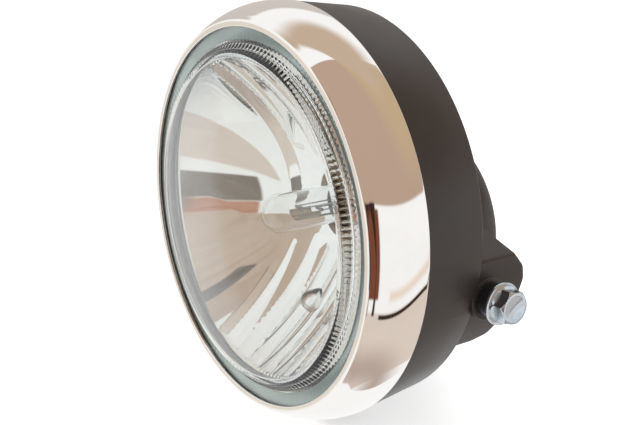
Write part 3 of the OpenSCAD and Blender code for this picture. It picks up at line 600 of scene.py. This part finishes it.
def lugGrid(side):
    # a rounded side view in (y, z) carried along x, whose top rises inwards at the slope; the outer
    # face is the round x = sqrt(lug r^2 - z^2), and its edge is rounded by a quarter circle
    front, edge = shell["drumLen"] + lug["front"], lug["edge"]
    outline = rounded([(front, lug["top"], 0)]
                      + [(lug["back"] + y, lug["top"] + z, fillet) for y, z, fillet in lug["upper"]]
                      + [(lug["back"] + y, lug["bottom"] + z, fillet) for y, z, fillet in lug["lower"]]
                      + [(front, lug["bottom"], 0)], 6)
    loop = evenly(outline, lug["points"])
    along = np.roll(loop, -1, axis=0) - np.roll(loop, 1, axis=0)
    normal = np.column_stack([-along[:, 1], along[:, 0]]) / np.linalg.norm(along, axis=1)[:, None]
    middle = loop.mean(0)
    if ((loop - middle) * normal).sum() < 0:
        normal = -normal
    nearTop = np.clip((loop[:, 1] - (lug["top"] - lug["slopeOver"])) / lug["slopeOver"], 0, 1)
    rise = nearTop * math.tan(math.radians(lug["slope"]))
    outX = math.sqrt(lug["r"] ** 2 - lug["top"] ** 2)
    rows = []
    for share in np.linspace(0, 1, lug["rows"]):
        face = np.sqrt(lug["r"] ** 2 - loop[:, 1] ** 2) - edge
        x = lug["inX"] + (face - lug["inX"]) * share
        rows.append(np.column_stack([x, loop[:, 0], loop[:, 1] + rise * (outX - x)]))
    for bend in np.radians(np.linspace(0, 90, 7))[1:]:
        shrunk = loop - normal * edge * (1 - math.cos(bend))
        x = np.sqrt(lug["r"] ** 2 - shrunk[:, 1] ** 2) - edge * (1 - math.sin(bend))
        rows.append(np.column_stack([x, shrunk[:, 0], shrunk[:, 1] + rise * np.maximum(0, outX - x)]))
    for scale in (0.92, 0.75, 0.5, 0.25, 0.0):
        shrunk = middle + (loop - normal * edge - middle) * scale
        rows.append(np.column_stack([np.sqrt(lug["r"] ** 2 - shrunk[:, 1] ** 2), shrunk]))
    centre = np.tile(rows[0].mean(0), (len(loop), 1))
    grid = np.stack([centre] + rows)
    grid[:, :, 0] *= side
    return grid


def acrossLathe(profile, side, steps):
    # (r, x) profile carried round the bolt axis
    turn = np.linspace(0, 2 * np.pi, steps, endpoint=False)[None, :]
    r, x = profile[:, :1], profile[:, 1:2]
    return np.stack(np.broadcast_arrays(side * x, boltAxis["y"] + r * np.sin(turn),
                                        boltAxis["z"] + r * np.cos(turn)), axis=2)


def spoke(profile, angle, y, steps):
    # (r, height) profile carried round the spoke at that clock angle
    turn = np.linspace(0, 2 * np.pi, steps, endpoint=False)[None, :]
    r, h = profile[:, :1], profile[:, 1:2]
    a = math.radians(angle)
    u, v = r * np.cos(turn), r * np.sin(turn)
    x, z = h * math.sin(a) + u * math.cos(a), h * math.cos(a) - u * math.sin(a)
    return np.stack(np.broadcast_arrays(x, y + v, z), axis=2)


def combine(target, grids, operation):
    # joins or cuts the closed grids, and keeps only the result
    tools = []
    for k, grid in enumerate(grids):
        tool = buildPiece(f"tool{k}", [(grid, False, True)])
        step = target.modifiers.new(f"step{k}", "BOOLEAN")
        step.operation, step.solver, step.object = operation, "MANIFOLD", tool
        tools.append(tool)
    bpy.context.view_layer.update()
    result = target.evaluated_get(bpy.context.evaluated_depsgraph_get())
    result = bpy.data.meshes.new_from_object(result)
    target.modifiers.clear()
    target.data = result
    for tool in tools:
        bpy.data.objects.remove(tool)


def dropCrumbs(piece, smallest):
    # deletes any island of fewer faces than smallest, such as a sliver that a cut leaves
    work = bmesh.new()
    work.from_mesh(piece.data)
    left, crumbs = set(work.faces), []
    while left:
        reached = [left.pop()]
        island = set(reached)
        while reached:
            for edge in reached.pop().edges:
                for face in edge.link_faces:
                    if face not in island:
                        island.add(face)
                        reached.append(face)
        left -= island
        if len(island) < smallest:
            crumbs.extend(island)
    bmesh.ops.delete(work, geom=crumbs, context="FACES")
    work.to_mesh(piece.data)
    work.free()


shellGrid = carried(np.concatenate([shellRows(0.0, shell["holeR"]),
                                    shellRows(shell["wall"], shell["holeR"])[::-1]]), shell["columns"])
shellPiece = buildPiece("shellBody", [(shellGrid, True, True)], ["housing"], sharp=40)
padProfile = np.concatenate([[(0.0, pad["rootX"]), (pad["r"], pad["rootX"])],
                             rounded([(pad["r"], pad["rootX"] + 1, 0), (pad["r"], pad["x"], pad["round"]),
                                      (0.5, pad["x"], 0)], 4)[1:-1], [(0.0, pad["x"])]])
boreProfile = np.array([(0.0, bore["from"]), (bore["r"], bore["from"]), (bore["r"], bore["to"]),
                        (0.0, bore["to"])])
seatProfile = np.array([(0.0, screwSeat["from"]), (screwSeat["holeR"], screwSeat["from"]),
                        (screwSeat["holeR"], screwSeat["seat"]), (screwSeat["sinkR"], screwSeat["seat"]),
                        (screwSeat["sinkR"], screwSeat["to"]), (0.0, screwSeat["to"])])
combine(shellPiece, [lugGrid(1), lugGrid(-1)]
        + [acrossLathe(padProfile, side, pad["steps"]) for side in (1, -1)], "UNION")
combine(shellPiece, [acrossLathe(boreProfile, side, bore["steps"]) for side in (1, -1)]
        + [spoke(seatProfile, side * screwSeat["angle"], screwSeat["y"], screwSeat["steps"])
           for side in (1, -1)], "DIFFERENCE")
dropCrumbs(shellPiece, 200)
shellPiece.data.shade_smooth()
shellPiece.data.set_sharp_from_angle(angle=math.radians(32))
dress(shellPiece, shellPlastic)
print("shell moulded", len(shellPiece.data.polygons))


# floor, surroundings and light

studio = {"floorZ": -0.0697, "floorSize": 8.0, "floorColour": (0.86, 0.86, 0.86), "floorGlow": 0.55,
          "room": 0.62, "bendAt": 75.0, "bendOver": 60.0}

# patches of colour round the lamp, seen only in its metal and glass, in degrees:
# (west, east, bottom, top, soft edge, colour, bend)
surroundings = [
    (-200, -98, -24, 34, 4, (0.64, 0.59, 0.55), 0),          # pale side, away from the camera
    (-66, -42, -30, 0, 6, (0.80, 0.73, 0.64), 0),            # low band in front
    (-16, 172, 11, 95, 2, (0.52, 0.38, 0.29), 0),            # tan band
    (104, 172, 11, 95, 26, (0.56, 0.42, 0.27), 0),           # its yellower end
    (-16, 46, 2, 14, 2, (0.52, 0.38, 0.29), 0),              # its low part
    (-200, -60, 50, 95, 14, (0.58, 0.45, 0.34), 0),          # overhead
    (130, 200, 50, 95, 14, (0.58, 0.45, 0.34), 0),           # overhead, behind
    (14, 178, -95, -42, 2.5, (0.74, 0.64, 0.57), 16),        # pinkish low band
    (14, 178, -95, -74, 22, (0.50, 0.40, 0.35), 0),          # the same, straight below, darker: painted shadow of the lamp on the floor
    (76, 170, -37, -32, 5, (0.88, 0.75, 0.64), 16),          # its warm edge
    (66, 150, -44.5, -42, 1.2, (0.03, 0.016, 0.01), 16),     # thin dark line
    (26, 58, -28, -8, 2, (0.15, 0.125, 0.105), 0),           # dark patch
    (27, 58, -8, 2, 2.5, (0.46, 0.19, 0.10), 0),             # brown patch
    (46, 59, -42, 12, 1.5, (0.045, 0.022, 0.015), 0),        # dark upright
    (58, 62, -34, 9, 2.0, (0.20, 0.065, 0.032), 0),          # its brown edge
    (10, 19, 43, 56, 1, (0.11, 0.09, 0.08), 0)]              # small dark patch

# (name, place, size, power) of the area lamps, which all aim at the origin
softboxes = [("overheadSoftbox", (0.3, -0.2, 1.3), (1.2, 1.0), 9.0),
             ("sideSoftbox", (1.2, 0.5, 0.6), (0.8, 0.8), 5.0)]


def seenRays(tree):
    rays = addNode(tree, "ShaderNodeLightPath")
    mirrored = mathNode(tree, "MAXIMUM", rays.outputs["Is Glossy Ray"], rays.outputs["Is Transmission Ray"])
    return mathNode(tree, "MAXIMUM", rays.outputs["Is Camera Ray"], mirrored, clamp=True), mirrored


floorPaint = bpy.data.materials.new("floorPaint")
floorPaint.use_nodes = True
tree = floorPaint.node_tree
shader = tree.nodes["Principled BSDF"]
shader.inputs["Base Color"].default_value = (*studio["floorColour"], 1)
shader.inputs["Roughness"].default_value = 0.8
shader.inputs["Emission Color"].default_value = (1, 1, 1, 1)
glow = mathNode(tree, "MULTIPLY", seenRays(tree)[0], studio["floorGlow"])
tree.links.new(glow, shader.inputs["Emission Strength"])
bpy.ops.mesh.primitive_plane_add(size=studio["floorSize"], location=(0, 0, studio["floorZ"]))
floor = bpy.context.object
floor.name = "floor"
floor.data.materials.append(floorPaint)
floor.visible_glossy = floor.visible_transmission = False     # metal and glass meet the surroundings instead

world = bpy.data.worlds.new("studio")
bpy.context.scene.world = world
world.use_nodes = True
tree = world.node_tree
tree.nodes.clear()
seen, mirrored = seenRays(tree)
direction = addNode(tree, "ShaderNodeTexCoord").outputs["Generated"]
heading = addNode(tree, "ShaderNodeSeparateXYZ", Vector=direction)
towardsFront = mathNode(tree, "MULTIPLY", heading.outputs["Y"], -1.0)
aroundZ = mathNode(tree, "ARCTAN2", heading.outputs["X"], towardsFront)
compass = mathNode(tree, "MULTIPLY", aroundZ, 180 / math.pi)
height = mathNode(tree, "MULTIPLY", mathNode(tree, "ARCSINE", heading.outputs["Z"]), 180 / math.pi)


def patch(west, east, bottom, top, soft, bend):
    # 1 inside a box of compass angle and height, with soft edges; bend raises it by
    # bend x ((compass - bendAt) / bendOver)^2
    level = height
    if bend:
        away = mathNode(tree, "SUBTRACT", compass, studio["bendAt"])
        away = mathNode(tree, "MULTIPLY", away, 1 / studio["bendOver"])
        lift = mathNode(tree, "MULTIPLY", mathNode(tree, "MULTIPLY", away, away), bend)
        level = mathNode(tree, "SUBTRACT", height, lift)
    sides = mathNode(tree, "SUBTRACT", rampNode(tree, compass, west, west + soft),
                     rampNode(tree, compass, east, east + soft), clamp=True)
    ends = mathNode(tree, "SUBTRACT", rampNode(tree, level, bottom, bottom + soft),
                    rampNode(tree, level, top, top + soft), clamp=True)
    return mathNode(tree, "MULTIPLY", sides, ends)


roomColour = (1, 1, 1)
for west, east, bottom, top, soft, colour, bend in surroundings:
    roomColour = mixColour(tree, patch(west, east, bottom, top, soft, bend), roomColour, colour)
shown = mixColour(tree, mirrored, (1, 1, 1), roomColour)
strength = mathNode(tree, "ADD", studio["room"], mathNode(tree, "MULTIPLY", seen, 1.0 - studio["room"]))
backdrop = addNode(tree, "ShaderNodeBackground", Color=shown, Strength=strength)
addNode(tree, "ShaderNodeOutputWorld", Surface=backdrop.outputs[0])

for name, place, size, power in softboxes:
    data = bpy.data.lights.new(name, "AREA")
    data.shape, data.size, data.size_y, data.energy = "RECTANGLE", size[0], size[1], power
    softbox = bpy.data.objects.new(name, data)
    softbox.visible_glossy = softbox.visible_transmission = False
    softbox.location = Vector(place)
    softbox.rotation_euler = (-Vector(place)).to_track_quat("-Z", "Y").to_euler()
    bpy.context.scene.collection.objects.link(softbox)

bpy.context.scene.view_settings.view_transform = "Standard"
print("studio set")
